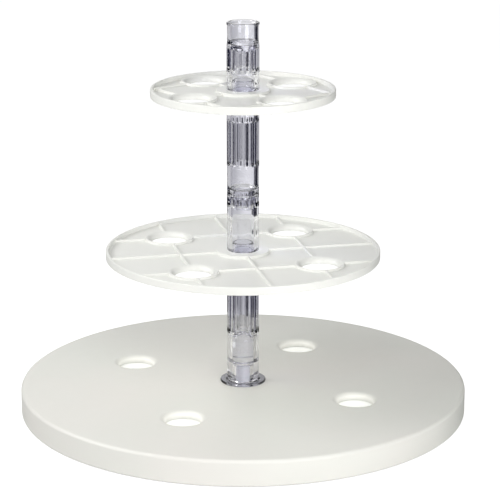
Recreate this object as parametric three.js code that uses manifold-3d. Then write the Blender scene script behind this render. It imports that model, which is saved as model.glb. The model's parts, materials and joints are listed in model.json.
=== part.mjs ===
// A free-standing stand with three round levels: a thick hollow base and two ribbed plates, each with
// four round holes, carried on one clear column that unscrews into sections.
// Millimetres, +Z up. The origin is on the table, on the column's axis.

import * as THREE from 'three';
import { mergeVertices } from 'three/addons/utils/BufferGeometryUtils.js';
import Module from 'manifold-3d';

const wasm = await Module();
wasm.setup();

// ---- driving dimensions ----

// base
const BASE_RADIUS = 250;
const BASE_TOP = 30;              // height of the base's top face above the table
const BASE_BOTTOM = 1;            // lower edge of the skirt, held off the table by the feet
const BASE_TURN = 17.5;           // degrees, turns the base's hole pattern about the column
const SKIN = 5;                   // thickness of the base's top
const WALL = 4;                   // thickness of the base's skirt
const BASE_EDGE_ROUND = 4;
const HUB_RADIUS = 30;            // solid middle of the base, where the column is bolted
const HUB_BOTTOM = 9;
const BASE_HOLE_CIRCLE = 139.6;   // radius on which the base's four holes stand
const BASE_HOLE_RADIUS = 19.5;
const BASE_LIP_ROUND = 7;         // rounded mouth of each base hole
const MOUTH_DEPTH = 7.6;          // the collar under the skin that carries a rounded mouth
const MOUTH_WALL = 4;
const POST_RADIUS = 6;            // screw posts under the base's top
const POST_CIRCLE = 222;
const FOOT_CIRCLE = 196;
const STIFFENER_THICKNESS = 2.5;
const STIFFENER_DEPTH = 12;

// bottom cover of the base
const COVER_BOTTOM = 3;
const COVER_THICKNESS = 3;
const COVER_GAP = 0.6;            // between the cover's edge and the skirt
const LINER_WALL = 3;             // sleeves of the cover that line the base's holes
const LINER_TOP_GAP = 0.4;        // fine line between a sleeve and the mouth above it

// plates
const PLATE_HEIGHT = 9;
const RIM_WIDTH = 3.6;
const WEB_BOTTOM = 1.8;
const WEB_THICKNESS = 2.4;
const RIB_TOP = 6.8;
const RIB_WIDTH = 2.6;
const BOSS_RADIUS = 29.5;         // raised middle of a plate
const BOSS_TOP = 7.5;
const PLATE_HOLE_RADIUS = 20.5;
const PLATE_MOUTH_ROUND = 6.3;    // rounded mouth of each plate hole
const RING_RADIUS = 27.5;         // raised ring round each hole

const MIDDLE = { radius: 152.6, holeCircle: 99.4, turn: 12.5, bottom: BASE_TOP + 146.2 };
const TOP = { radius: 101.5, holeCircle: 68.8, turn: -7.3, bottom: BASE_TOP + 327.5 };

// column
const FLUTE_RADIUS = 17.9;        // crests of the fluted lengths
const FLUTE_COUNT = 16;
const FLUTE_DEPTH = 1.6;
const COLLAR_RADIUS = 17.7;       // plain lengths
const LONG_COLLAR = 31.4;         // plain length at the foot of the two long sections
const SHORT_COLLAR = 19;          // plain length at the foot of the top section
const JOIN_OVERLAP = 0.4;         // how far neighbouring lengths run into each other
const BORE_RADIUS = 14;           // hollow of the sections
const SPIGOT_RADIUS = 12;         // screwed ends that enter the next section
const SPIGOT_WALL = 2.5;
const FIT_GAP = 0.3;              // radial gap round a spigot, where the threads would run
const FACE_GAP = 0.1;             // gap between faces that are screwed together
const FLANGE_RADIUS = 25.5;
const FLANGE_HEIGHT = 2.5;
const SOCKET_TOP = BASE_TOP + 25.4;
const SOCKET_SPIGOT_TOP = BASE_TOP + 57;
const MIDDLE_SPIGOT_TOP = BASE_TOP + 163;
const COUPLER_TOP = BASE_TOP + 218;
const COUPLER_BAND_BOTTOM = BASE_TOP + 203;
const PLUG_BOTTOM = BASE_TOP + 202;
const TOP_SPIGOT_TOP = BASE_TOP + 346;
const TOP_SECTION_TOP = BASE_TOP + 386;
const CAP_PLUG_BOTTOM = BASE_TOP + 378;
const CAP_TOP = BASE_TOP + 409;
const CAP_RADIUS = 17.3;
const CAP_RIM_RADIUS = 18;
const CAP_RIM_HEIGHT = 3;
const CAP_RECESS_DEPTH = 20.5;

// fasteners, washers and feet
const WASHER_THICKNESS = 0.8;
const BOLT_RADIUS = 7.7;
const BOLT_HOLE_RADIUS = 8;
const BOLT_TOP = BASE_TOP + 20;
const BOLT_HEAD_RADIUS = 16;
const BOLT_HEAD_HEIGHT = 4;
const BOLT_SLOT_WIDTH = 2.5;
const BOLT_SLOT_DEPTH = 1.8;
const BOLT_WASHER_RADIUS = 22;
const BOLT_WASHER_THICKNESS = 1.5;
const SCREW_RADIUS = 1.8;
const SCREW_LENGTH = 14;
const SCREW_HEAD_RADIUS = 3.6;
const SCREW_HEAD_HEIGHT = 1.8;
const FOOT_RADIUS = 9;
const FOOT_HEIGHT = 5.6;
const FOOT_SOCKET_WALL = 2;

// facets round a full turn
const BASE_FACETS = 64;
const PLATE_FACETS = 48;
const COLUMN_FACETS = 24;
const HOLE_FACETS = 20;
const SMALL_FACETS = 10;
const FLUTE_FACETS = 4;
const ARC_STEPS = 2;
const DOME_STEPS = 4;

const QUARTERS = [45, 135, 225, 315];

// ---- materials ----

const whitePlastic = { color: 0xf2f2ee, roughness: 0.42, metalness: 0 };
const clearPlastic = { color: 0xd9d8e8, roughness: 0.06, metalness: 0, transparent: true, opacity: 0.45 };
const clearWasher = { color: 0xe6e6ea, roughness: 0.3, metalness: 0, transparent: true, opacity: 0.6 };
const steel = { color: 0xb9bbbd, roughness: 0.32, metalness: 1 };
const rubber = { color: 0x3a3b3d, roughness: 0.85, metalness: 0 };

// ---- solids from three.js geometry ----

/** Six times the signed volume: positive when the faces point out. */
function signedVolume(positions, triangles) {
  const a = new THREE.Vector3();
  const b = new THREE.Vector3();
  const c = new THREE.Vector3();
  let sum = 0;
  for (let i = 0; i < triangles.length; i += 3) {
    a.fromArray(positions, 3 * triangles[i]);
    b.fromArray(positions, 3 * triangles[i + 1]);
    c.fromArray(positions, 3 * triangles[i + 2]);
    sum += a.dot(b.cross(c));
  }
  return sum;
}

/** A manifold solid from a closed three.js geometry. */
function toSolid(geometry) {
  geometry.deleteAttribute('normal');
  geometry.deleteAttribute('uv');
  const merged = mergeVertices(geometry, 1e-4);
  const vertProperties = new Float32Array(merged.attributes.position.array);
  const triangles = [];
  for (let i = 0; i < merged.index.count; i += 3) {
    const corners = [merged.index.getX(i), merged.index.getX(i + 1), merged.index.getX(i + 2)];
    if (new Set(corners).size === 3) triangles.push(...corners);
  }
  const triVerts = new Uint32Array(triangles);
  if (signedVolume(vertProperties, triVerts) < 0) triVerts.reverse();
  return new wasm.Manifold(new wasm.Mesh({ numProp: 3, vertProperties, triVerts }));
}

/** A solid turned about the Z axis from [radius, height] points. A profile off the axis is closed on itself. */
function turned(profile, facets) {
  const points = profile.map(([radius, height]) => new THREE.Vector2(radius, height));
  const startsOnAxis = profile[0][0] === 0;
  if (!startsOnAxis) points.push(points[0].clone());
  return toSolid(new THREE.LatheGeometry(points, facets).rotateX(Math.PI / 2));
}

/** Points of an arc, both ends included, in degrees. */
function arc(centreRadius, centreHeight, radius, from, to, steps) {
  return Array.from({ length: steps + 1 }, (_, i) => {
    const angle = THREE.MathUtils.degToRad(from + ((to - from) * i) / steps);
    return [centreRadius + radius * Math.cos(angle), centreHeight + radius * Math.sin(angle)];
  });
}

function rod(radius, bottom, top, facets) {
  return turned([[0, bottom], [radius, bottom], [radius, top], [0, top]], facets);
}

function tube(inner, outer, bottom, top, facets) {
  return turned([[inner, bottom], [outer, bottom], [outer, top], [inner, top]], facets);
}

/** A rod whose upper end is domed. */
function domedRod(radius, bottom, top, facets) {
  const dome = arc(0, top - radius, radius, 0, 90, DOME_STEPS);
  dome[dome.length - 1][0] = 0;
  return turned([[0, bottom], [radius, bottom], ...dome], facets);
}

function bar(length, width, bottom, top) {
  const box = new THREE.BoxGeometry(length, width, top - bottom);
  return toSolid(box.translate(0, 0, (bottom + top) / 2));
}

/** A round shaft with rounded grooves along it. */
function flutedRod(bottom, top) {
  const outline = [];
  for (let i = 0; i < FLUTE_COUNT * FLUTE_FACETS; i += 1) {
    const angle = (2 * Math.PI * i) / (FLUTE_COUNT * FLUTE_FACETS);
    const swell = Math.abs(Math.cos((FLUTE_COUNT * angle) / 2));
    const radius = FLUTE_RADIUS - FLUTE_DEPTH * (1 - swell * swell);
    outline.push(new THREE.Vector2(radius * Math.cos(angle), radius * Math.sin(angle)));
  }
  const shape = new THREE.Shape(outline);
  const shaft = new THREE.ExtrudeGeometry(shape, { depth: top - bottom, bevelEnabled: false });
  return toSolid(shaft.translate(0, 0, bottom));
}

/** The solid moved to a place on a circle about the Z axis. */
function onCircle(solid, radius, degrees) {
  const angle = THREE.MathUtils.degToRad(degrees);
  return solid.translate([radius * Math.cos(angle), radius * Math.sin(angle), 0]);
}

function joined(solids) {
  return solids.reduce((all, next) => all.add(next));
}

function piece(name, solid, material, turn = 0) {
  const { vertProperties, triVerts } = solid.getMesh();
  const geometry = new THREE.BufferGeometry();
  geometry.setAttribute('position', new THREE.BufferAttribute(new Float32Array(vertProperties), 3));
  geometry.setIndex(new THREE.BufferAttribute(new Uint32Array(triVerts), 1));
  geometry.computeVertexNormals();
  const mesh = new THREE.Mesh(geometry, new THREE.MeshStandardMaterial(material));
  mesh.name = name;
  mesh.rotation.z = THREE.MathUtils.degToRad(turn);
  return mesh;
}

// ---- base ----

/** The mouth and bore of a base hole, as the solid that is taken away. */
function baseHoleCutter() {
  const mouthStart = BASE_TOP - BASE_LIP_ROUND;
  const mouthRadius = BASE_HOLE_RADIUS + BASE_LIP_ROUND;
  return turned([
    [0, BASE_BOTTOM],
    [BASE_HOLE_RADIUS, BASE_BOTTOM],
    ...arc(mouthRadius, mouthStart, BASE_LIP_ROUND, 180, 90, ARC_STEPS),
    [mouthRadius, BASE_TOP + 1],
    [0, BASE_TOP + 1],
  ], HOLE_FACETS);
}

/** Round top and skirt of the base, open underneath, with a solid hub. */
function baseShell() {
  const underSkin = BASE_TOP - SKIN;
  const lowerRound = 2;
  const body = turned([
    [BASE_RADIUS - WALL, BASE_BOTTOM],
    ...arc(BASE_RADIUS - lowerRound, BASE_BOTTOM + lowerRound, lowerRound, 270, 360, 2),
    ...arc(BASE_RADIUS - BASE_EDGE_ROUND, BASE_TOP - BASE_EDGE_ROUND, BASE_EDGE_ROUND, 0, 90, ARC_STEPS),
    [BOLT_HOLE_RADIUS, BASE_TOP],
    [BOLT_HOLE_RADIUS, HUB_BOTTOM],
    [HUB_RADIUS, HUB_BOTTOM],
    [HUB_RADIUS, underSkin],
    [BASE_RADIUS - WALL, underSkin],
  ], BASE_FACETS);
  const reach = BASE_RADIUS - WALL - HUB_RADIUS + 4;
  const middle = HUB_RADIUS - 2 + reach / 2;
  const stiffener = bar(reach, STIFFENER_THICKNESS, underSkin - STIFFENER_DEPTH, underSkin + 1);
  const postBottom = COVER_BOTTOM + COVER_THICKNESS + FACE_GAP;
  const pilot = SCREW_RADIUS + FIT_GAP;
  const post = tube(pilot, POST_RADIUS, postBottom, underSkin, SMALL_FACETS);
  const postTop = rod(POST_RADIUS - 1, underSkin - 2, underSkin + 1, SMALL_FACETS);
  const collar = rod(BASE_HOLE_RADIUS + MOUTH_WALL, BASE_TOP - MOUTH_DEPTH, underSkin + 1, HOLE_FACETS);
  const solids = [body];
  for (const quarter of QUARTERS) {
    const between = quarter + 45;
    solids.push(stiffener.translate([middle, 0, 0]).rotate([0, 0, between]));
    solids.push(onCircle(collar, BASE_HOLE_CIRCLE, quarter));
    solids.push(onCircle(post, POST_CIRCLE, between + 15), onCircle(postTop, POST_CIRCLE, between + 15));
  }
  const holes = QUARTERS.map((quarter) => onCircle(baseHoleCutter(), BASE_HOLE_CIRCLE, quarter));
  return joined(solids).subtract(joined(holes));
}

/** Flat cover that closes the base from below and lines its four holes. */
function baseCover() {
  const top = COVER_BOTTOM + COVER_THICKNESS;
  const plate = tube(HUB_RADIUS + 1, BASE_RADIUS - WALL - COVER_GAP, COVER_BOTTOM, top, BASE_FACETS);
  const sleeveTop = BASE_TOP - MOUTH_DEPTH - LINER_TOP_GAP;
  const sleeveRadius = BASE_HOLE_RADIUS + LINER_WALL;
  const sleeve = rod(sleeveRadius, COVER_BOTTOM, sleeveTop, HOLE_FACETS);
  const bore = rod(BASE_HOLE_RADIUS, COVER_BOTTOM - 1, sleeveTop + 1, HOLE_FACETS);
  const screwHole = rod(SCREW_RADIUS + FIT_GAP, COVER_BOTTOM - 1, top + 1, SMALL_FACETS);
  const footTop = FOOT_HEIGHT + FACE_GAP;
  const socketRadius = FOOT_RADIUS + FIT_GAP;
  const footSocket = rod(socketRadius + FOOT_SOCKET_WALL, COVER_BOTTOM, footTop + 2, SMALL_FACETS);
  const footSpace = rod(socketRadius, COVER_BOTTOM - 1, footTop, SMALL_FACETS);
  const added = [plate];
  const removed = [];
  for (const quarter of QUARTERS) {
    added.push(onCircle(sleeve, BASE_HOLE_CIRCLE, quarter));
    added.push(onCircle(footSocket, FOOT_CIRCLE, quarter));
    removed.push(onCircle(bore, BASE_HOLE_CIRCLE, quarter));
    removed.push(onCircle(footSpace, FOOT_CIRCLE, quarter));
    removed.push(onCircle(screwHole, POST_CIRCLE, quarter + 60));
  }
  return joined(added).subtract(joined(removed));
}

/** Pan-head screw that holds the cover on the base, driven upwards. */
function coverScrew() {
  const headTop = COVER_BOTTOM - FACE_GAP;
  const head = rod(SCREW_HEAD_RADIUS, headTop - SCREW_HEAD_HEIGHT, headTop, SMALL_FACETS);
  return head.add(rod(SCREW_RADIUS, headTop - 1, headTop + SCREW_LENGTH, SMALL_FACETS));
}

function foot() {
  const bevel = 1;
  return turned([
    [0, 0], [FOOT_RADIUS - bevel, 0], [FOOT_RADIUS, bevel], [FOOT_RADIUS, FOOT_HEIGHT], [0, FOOT_HEIGHT],
  ], SMALL_FACETS);
}

const washerTop = HUB_BOTTOM - FACE_GAP;
const boltHeadTop = washerTop - BOLT_WASHER_THICKNESS - FACE_GAP;

function boltWasher() {
  return tube(BOLT_HOLE_RADIUS, BOLT_WASHER_RADIUS, washerTop - BOLT_WASHER_THICKNESS, washerTop, HOLE_FACETS);
}

/** Slotted bolt that pulls the socket down on to the base's hub. */
function baseBolt() {
  const headBottom = boltHeadTop - BOLT_HEAD_HEIGHT;
  const head = turned([
    [0, headBottom], [BOLT_HEAD_RADIUS - 1.5, headBottom], [BOLT_HEAD_RADIUS, headBottom + 1.5],
    [BOLT_HEAD_RADIUS, boltHeadTop], [0, boltHeadTop],
  ], HOLE_FACETS);
  const slot = bar(2 * BOLT_HEAD_RADIUS + 2, BOLT_SLOT_WIDTH, headBottom - 1, headBottom + BOLT_SLOT_DEPTH);
  return head.add(rod(BOLT_RADIUS, boltHeadTop - 1, BOLT_TOP, HOLE_FACETS)).subtract(slot);
}

// ---- plates ----

/** Straight ribs across a plate, all in one direction, at the given offsets from the middle. */
function ribs(radius, direction, offsets) {
  const rib = bar(2 * radius, RIB_WIDTH, WEB_BOTTOM + 1, RIB_TOP);
  return offsets.map((offset) => rib.translate([0, offset, 0]).rotate([0, 0, direction]));
}

/** What one plate hole takes away: a round bore with a rounded mouth that opens upwards. */
function plateHoleCutter() {
  const mouthStart = RIB_TOP - PLATE_MOUTH_ROUND;
  const mouthRadius = PLATE_HOLE_RADIUS + PLATE_MOUTH_ROUND;
  return turned([
    [0, -1],
    [PLATE_HOLE_RADIUS, -1],
    ...arc(mouthRadius, mouthStart, PLATE_MOUTH_ROUND, 180, 90, ARC_STEPS),
    [mouthRadius, PLATE_HEIGHT],
    [0, PLATE_HEIGHT],
  ], HOLE_FACETS);
}

/** A thin web with a raised rim, raised ribs, a boss in the middle and four ringed holes. */
function plate(size, ribDirection, ribOffset) {
  const rim = tube(size.radius - RIM_WIDTH, size.radius, 0, PLATE_HEIGHT, PLATE_FACETS);
  const inside = size.radius - RIM_WIDTH / 2;
  const web = rod(inside, WEB_BOTTOM, WEB_BOTTOM + WEB_THICKNESS, PLATE_FACETS);
  const limit = rod(inside, 0, PLATE_HEIGHT, PLATE_FACETS);
  const offsets = [-ribOffset, 0, ribOffset];
  const lattice = joined([
    ...ribs(size.radius, ribDirection, offsets),
    ...ribs(size.radius, ribDirection + 90, offsets),
  ]).intersect(limit);
  const boss = rod(BOSS_RADIUS, 0, BOSS_TOP, COLUMN_FACETS);
  const bore = rod(SPIGOT_RADIUS + FIT_GAP, -1, BOSS_TOP + 1, COLUMN_FACETS);
  const ring = rod(RING_RADIUS, 0, RIB_TOP, HOLE_FACETS);
  const hole = plateHoleCutter();
  const rings = QUARTERS.map((quarter) => onCircle(ring, size.holeCircle, quarter));
  const holes = QUARTERS.map((quarter) => onCircle(hole, size.holeCircle, quarter));
  const body = joined([web, lattice, boss, ...rings]).intersect(limit).add(rim);
  return body.subtract(joined([bore, ...holes])).translate([0, 0, size.bottom]);
}

/** Ribs run square to one another and cross at the holes. */
function middlePlate() {
  return plate(MIDDLE, 0, MIDDLE.holeCircle * Math.SQRT1_2);
}

/** Ribs run from hole to hole through the middle, and outer ribs make a square inside the rim. */
function topPlate() {
  return plate(TOP, 45, TOP.holeCircle);
}

// ---- column ----

/** Flanged socket that stands on the base, with a domed screwed spigot. */
function columnSocket() {
  const bottom = BASE_TOP + FACE_GAP;
  const flange = turned([
    [0, bottom], [FLANGE_RADIUS, bottom], [FLANGE_RADIUS, bottom + FLANGE_HEIGHT - 1],
    [FLANGE_RADIUS - 1, bottom + FLANGE_HEIGHT], [0, bottom + FLANGE_HEIGHT],
  ], COLUMN_FACETS);
  const barrel = rod(COLLAR_RADIUS, bottom + 1, SOCKET_TOP, COLUMN_FACETS);
  const spigot = domedRod(SPIGOT_RADIUS, SOCKET_TOP - 1, SOCKET_SPIGOT_TOP, COLUMN_FACETS);
  const bore = rod(BOLT_HOLE_RADIUS, bottom - 1, BOLT_TOP + 1, HOLE_FACETS);
  return joined([flange, barrel, spigot]).subtract(bore);
}

/** Hollow for a spigot that enters a section from below. */
function spigotSpace(bottom, top) {
  return rod(SPIGOT_RADIUS + FIT_GAP, bottom - 1, top + 1, COLUMN_FACETS);
}

/** Open spigot on top of a section: it goes up through a plate into the next section. */
function hollowSpigot(bottom, top) {
  return tube(SPIGOT_RADIUS - SPIGOT_WALL, SPIGOT_RADIUS, bottom, top, COLUMN_FACETS);
}

const shoulderDrop = WASHER_THICKNESS + 2 * FACE_GAP;
const lowerShoulder = MIDDLE.bottom - shoulderDrop;
const upperShoulder = TOP.bottom - shoulderDrop;
const couplerBottom = MIDDLE.bottom + BOSS_TOP + FACE_GAP;
const topSectionBottom = TOP.bottom + BOSS_TOP + FACE_GAP;

/** Plain length of the column. It ends where the flutes begin, so that it doesn't fill the grooves. */
function plainRod(bottom, top) {
  return rod(COLLAR_RADIUS, bottom, top, COLUMN_FACETS);
}

/** Fluted section between the socket and the middle plate. */
function lowerColumn() {
  const bottom = SOCKET_TOP + FACE_GAP;
  const endWall = 6;
  const fluteBottom = bottom + LONG_COLLAR;
  const outside = joined([
    plainRod(bottom, fluteBottom),
    flutedRod(fluteBottom - JOIN_OVERLAP, lowerShoulder),
  ]);
  const hollow = rod(BORE_RADIUS, SOCKET_SPIGOT_TOP + 3, lowerShoulder - endWall, COLUMN_FACETS);
  const throat = rod(SPIGOT_RADIUS - SPIGOT_WALL, lowerShoulder - endWall - 1, lowerShoulder + 1, COLUMN_FACETS);
  return outside
    .subtract(joined([spigotSpace(bottom, SOCKET_SPIGOT_TOP + 3), hollow, throat]))
    .add(hollowSpigot(lowerShoulder - 1, MIDDLE_SPIGOT_TOP));
}

/** Plain section above the middle plate, with a short fluted band at its top. */
function middleCoupler() {
  const outside = joined([
    plainRod(couplerBottom, COUPLER_BAND_BOTTOM),
    flutedRod(COUPLER_BAND_BOTTOM - JOIN_OVERLAP, COUPLER_TOP),
  ]);
  return outside.subtract(spigotSpace(couplerBottom, COUPLER_TOP + 1));
}

/** Long fluted section between the coupler and the top plate, with a spigot at each end. */
function upperColumn() {
  const bottom = COUPLER_TOP + FACE_GAP;
  const fluteBottom = bottom + LONG_COLLAR;
  const rimHeight = 6;
  const rimBottom = BASE_TOP + 304;
  const outside = joined([
    plainRod(bottom, fluteBottom),
    flutedRod(fluteBottom - JOIN_OVERLAP, rimBottom + JOIN_OVERLAP),
    rod(FLUTE_RADIUS, rimBottom, rimBottom + rimHeight, COLUMN_FACETS),
    plainRod(rimBottom + rimHeight - JOIN_OVERLAP, upperShoulder),
  ]);
  const throatRadius = SPIGOT_RADIUS - SPIGOT_WALL;
  const endWall = 6;
  const hollow = rod(BORE_RADIUS, bottom + endWall, upperShoulder - endWall, COLUMN_FACETS);
  const throat = rod(throatRadius, bottom - 1, upperShoulder + 1, COLUMN_FACETS);
  return outside
    .subtract(joined([hollow, throat]))
    .add(hollowSpigot(upperShoulder - 1, TOP_SPIGOT_TOP))
    .add(hollowSpigot(PLUG_BOTTOM, bottom + 1));
}

/** Short fluted section above the top plate. */
function topSection() {
  const fluteBottom = topSectionBottom + SHORT_COLLAR;
  const endRing = 2;
  const outside = joined([
    plainRod(topSectionBottom, fluteBottom),
    flutedRod(fluteBottom - JOIN_OVERLAP, TOP_SECTION_TOP - endRing + JOIN_OVERLAP),
    plainRod(TOP_SECTION_TOP - endRing, TOP_SECTION_TOP),
  ]);
  return outside.subtract(spigotSpace(topSectionBottom, TOP_SECTION_TOP + 1));
}

/** Open-topped cap with a small rim, plugged into the top section. */
function topCap() {
  const bottom = TOP_SECTION_TOP + FACE_GAP;
  const solid = joined([
    rod(CAP_RADIUS, bottom, CAP_TOP, COLUMN_FACETS),
    rod(CAP_RIM_RADIUS, CAP_TOP - CAP_RIM_HEIGHT, CAP_TOP, COLUMN_FACETS),
    rod(SPIGOT_RADIUS, CAP_PLUG_BOTTOM, bottom + 1, COLUMN_FACETS),
  ]);
  return solid.subtract(rod(BORE_RADIUS, CAP_TOP - CAP_RECESS_DEPTH, CAP_TOP + 1, COLUMN_FACETS));
}

/** Thin washer on a section's shoulder, on which a plate turns. */
function plateWasher(shoulder) {
  const bottom = shoulder + FACE_GAP;
  const inner = SPIGOT_RADIUS + FIT_GAP;
  return tube(inner, COLLAR_RADIUS - 0.4, bottom, bottom + WASHER_THICKNESS, COLUMN_FACETS);
}

// ---- assembly ----

const stand = new THREE.Group();
stand.name = 'three_level_stand';

const base = new THREE.Group();
base.rotation.z = THREE.MathUtils.degToRad(BASE_TURN);
base.add(piece('base_shell', baseShell(), whitePlastic));
base.add(piece('base_cover', baseCover(), whitePlastic));
QUARTERS.forEach((quarter, i) => {
  base.add(piece(`cover_screw_${i + 1}`, onCircle(coverScrew(), POST_CIRCLE, quarter + 60), steel));
  base.add(piece(`foot_${i + 1}`, onCircle(foot(), FOOT_CIRCLE, quarter), rubber));
});
base.add(piece('bolt_washer', boltWasher(), steel));
base.add(piece('base_bolt', baseBolt(), whitePlastic));
stand.add(base);

stand.add(piece('column_socket', columnSocket(), clearPlastic));
stand.add(piece('lower_column', lowerColumn(), clearPlastic));
stand.add(piece('middle_plate_washer', plateWasher(lowerShoulder), clearWasher));
stand.add(piece('middle_plate', middlePlate(), whitePlastic, MIDDLE.turn));
stand.add(piece('middle_coupler', middleCoupler(), clearPlastic));
stand.add(piece('upper_column', upperColumn(), clearPlastic));
stand.add(piece('top_plate_washer', plateWasher(upperShoulder), clearWasher));
stand.add(piece('top_plate', topPlate(), whitePlastic, TOP.turn));
stand.add(piece('top_section', topSection(), clearPlastic));
stand.add(piece('top_cap', topCap(), clearPlastic));

export default stand;
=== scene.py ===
"""Looks of a three-level round stand: white moulded base and plates on a clear fluted column.

Named lengths are in millimetres and turns in degrees. Heights on the base count up from the table, on a
plate from its underside, and on the column from the base's top face.
"""

import json
import math

import bmesh
import bpy
from mathutils import Matrix, Vector

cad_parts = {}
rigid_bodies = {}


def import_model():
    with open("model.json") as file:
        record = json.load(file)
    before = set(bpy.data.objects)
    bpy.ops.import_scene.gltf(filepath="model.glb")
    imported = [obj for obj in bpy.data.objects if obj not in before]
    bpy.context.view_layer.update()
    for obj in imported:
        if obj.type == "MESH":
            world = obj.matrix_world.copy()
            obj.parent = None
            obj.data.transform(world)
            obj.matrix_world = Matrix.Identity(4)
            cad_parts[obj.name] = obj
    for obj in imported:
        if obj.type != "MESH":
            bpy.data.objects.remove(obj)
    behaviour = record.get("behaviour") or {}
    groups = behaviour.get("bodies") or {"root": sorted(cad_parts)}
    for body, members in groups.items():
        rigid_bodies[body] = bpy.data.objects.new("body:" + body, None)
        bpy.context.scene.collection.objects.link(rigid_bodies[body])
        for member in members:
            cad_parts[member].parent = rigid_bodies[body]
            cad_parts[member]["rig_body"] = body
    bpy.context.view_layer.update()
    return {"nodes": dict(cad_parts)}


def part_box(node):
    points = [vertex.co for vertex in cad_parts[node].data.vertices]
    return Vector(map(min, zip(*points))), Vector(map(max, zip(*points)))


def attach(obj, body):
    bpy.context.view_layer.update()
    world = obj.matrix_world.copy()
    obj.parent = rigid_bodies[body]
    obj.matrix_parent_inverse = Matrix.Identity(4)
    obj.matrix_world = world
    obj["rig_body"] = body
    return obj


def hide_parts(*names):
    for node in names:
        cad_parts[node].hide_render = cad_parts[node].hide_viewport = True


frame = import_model()

MM = 0.001

# ---- where the frame's parts are, in millimetres ----


def low(node):
    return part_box(node)[0].z / MM


def high(node):
    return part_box(node)[1].z / MM


def reach(node):
    """Greatest distance of a node's corners from the column's axis."""
    return max(math.hypot(v.co.x, v.co.y) for v in frame["nodes"][node].data.vertices) / MM


def middle_of(node):
    lowest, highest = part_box(node)
    return (lowest + highest) / 2


BASE_TOP = high("base_shell")
BASE_BOTTOM = low("base_shell")
BASE_RADIUS = reach("base_shell")
COVER_BOTTOM = low("base_cover")

# ---- sizes shared with the frame ----

# How far the hole pattern of each level is turned, and where its holes lie.
BASE_TURN = 17.5
MIDDLE_TURN = 12.5
TOP_TURN = -7.3
QUARTERS = (45, 135, 225, 315)
BASE_HOLE_CIRCLE = 139.6
MIDDLE_HOLE_CIRCLE = 99.4
TOP_HOLE_CIRCLE = 68.8

# Base: shell, hub, holes with rounded mouths, cover with sleeves, posts and feet.
SKIN = 5
WALL = 4
HUB_RADIUS = 30
HUB_BOTTOM = 9
BASE_HOLE_RADIUS = 19.5
BASE_LIP_ROUND = 7
MOUTH_DEPTH = 7.6
MOUTH_WALL = 4
BOLT_HOLE_RADIUS = 8
COVER_THICKNESS = 3
COVER_GAP = 0.6
LINER_WALL = 3
LINER_TOP_GAP = 0.4
STIFFENER_THICKNESS = 2.5
STIFFENER_DEPTH = 12
POST_RADIUS = 6
SCREW_HOLE_RADIUS = 2.1
POST_CIRCLE = 222
FOOT_CIRCLE = 196

# Plates: a thin web with rim, ribs, boss and rings.
RIM_WIDTH = 3.6
WEB_BOTTOM = 1.8
WEB_TOP = 4.2
RIB_TOP = 6.8
RIB_WIDTH = 2.6
BOSS_RADIUS = 29.5
BOSS_TOP = 7.5
PLATE_HOLE_RADIUS = 20.5
PLATE_MOUTH_ROUND = 6.1
RING_RADIUS = 27.5

# Column: fluted lengths between plain collars, joined by spigots in bores.
FLUTE_RADIUS = 17.9
FLUTE_COUNT = 16
FLUTE_DEPTH = 1.6
FLUTE_HALF = 3.7
FLUTE_TURN = -2.25
COLLAR_RADIUS = 17.7
LONG_COLLAR = 31.4
SHORT_COLLAR = 19
CAP_RADIUS = 17.3
BORE_RADIUS = 14
SPIGOT_RADIUS = 12
SPIGOT_BORE = 9.5
FIT_GAP = 0.3
FLANGE_THICKNESS = 2.5
CAP_RECESS = 20.5
LOWER_SHOULDER = low("middle_plate") - BASE_TOP - 1
UPPER_SHOULDER = low("top_plate") - BASE_TOP - 1
BOLT_BORE_TOP = 21
SOCKET_TOP = 25.4
SOCKET_SPIGOT_TOP = 57
COUPLER_BAND_BOTTOM = 203
COUPLER_TOP = 218
UPPER_RIM_BOTTOM = 304
CAP_SEAT = 386.1

# ---- looks ----

# Painted shade on the floors of the flutes: its colour seen edge-on, and how much of it goes when seen
# head-on.
PAINTED_GROOVE_SHADE = (0.06, 0.06, 0.13)
GROOVE_PALER = 0.65
# Painted shade on the flange: its colour, and the radius beyond which the clear plastic has it.
PAINTED_FLANGE_SHADE = (0.36, 0.36, 0.4)
FLANGE_STARTS = 18.6
# What is left of a lamp's light past each surface of the clear plastic.
CLEAR_SHADOW = (0.86, 0.86, 0.9)
# The sleeves' painted glow, the height over which it fades at their upper edge, and the share left there.
SLEEVE_GLOW = 0.42
SLEEVE_EDGE = 2.2
SLEEVE_EDGE_GLOW = 0.3
# The rounded hole mouths' painted glow, and how far below the base's top it is strongest.
LIP_GLOW = 0.24
LIP_PEAK = 3.4
# Distances from the column's axis between which both painted glows end.
PAINTED_GLOW_REACH = (200, 205)

# ---- meshes ----

COLUMN_STEPS = 16 * FLUTE_COUNT
BASE_STEPS = 256
HOLE_STEPS = 96
ROUND_STEPS = 5
FLUTE_END_STEPS = 8
# Radius of the pinhole that keeps an outline that closes on itself off the axis.
NEAR_AXIS = 0.01
# Edges of clear pieces that turn by more than this many degrees are sharp.
COLUMN_SHARP = 28


def rounded(corners):
    """The outline through (radius, height[, rounding]) corners, with an arc at each rounded one."""
    points = []
    for i, corner in enumerate(corners):
        here = Vector(corner[:2])
        rounding = corner[2] if len(corner) > 2 else 0
        if not rounding:
            points.append(tuple(here))
            continue
        back = (Vector(corners[i - 1][:2]) - here).normalized()
        ahead = (Vector(corners[(i + 1) % len(corners)][:2]) - here).normalized()
        half = back.angle(ahead) / 2
        centre = here + (back + ahead).normalized() * rounding / math.sin(half)
        start = here + back * rounding / math.tan(half) - centre
        end = here + ahead * rounding / math.tan(half) - centre
        first = math.atan2(start.y, start.x)
        sweep = (math.atan2(end.y, end.x) - first + math.pi) % (2 * math.pi) - math.pi
        for step in range(ROUND_STEPS + 1):
            angle = first + sweep * step / ROUND_STEPS
            points.append((centre.x + rounding * math.cos(angle), centre.y + rounding * math.sin(angle)))
    return points


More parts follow.
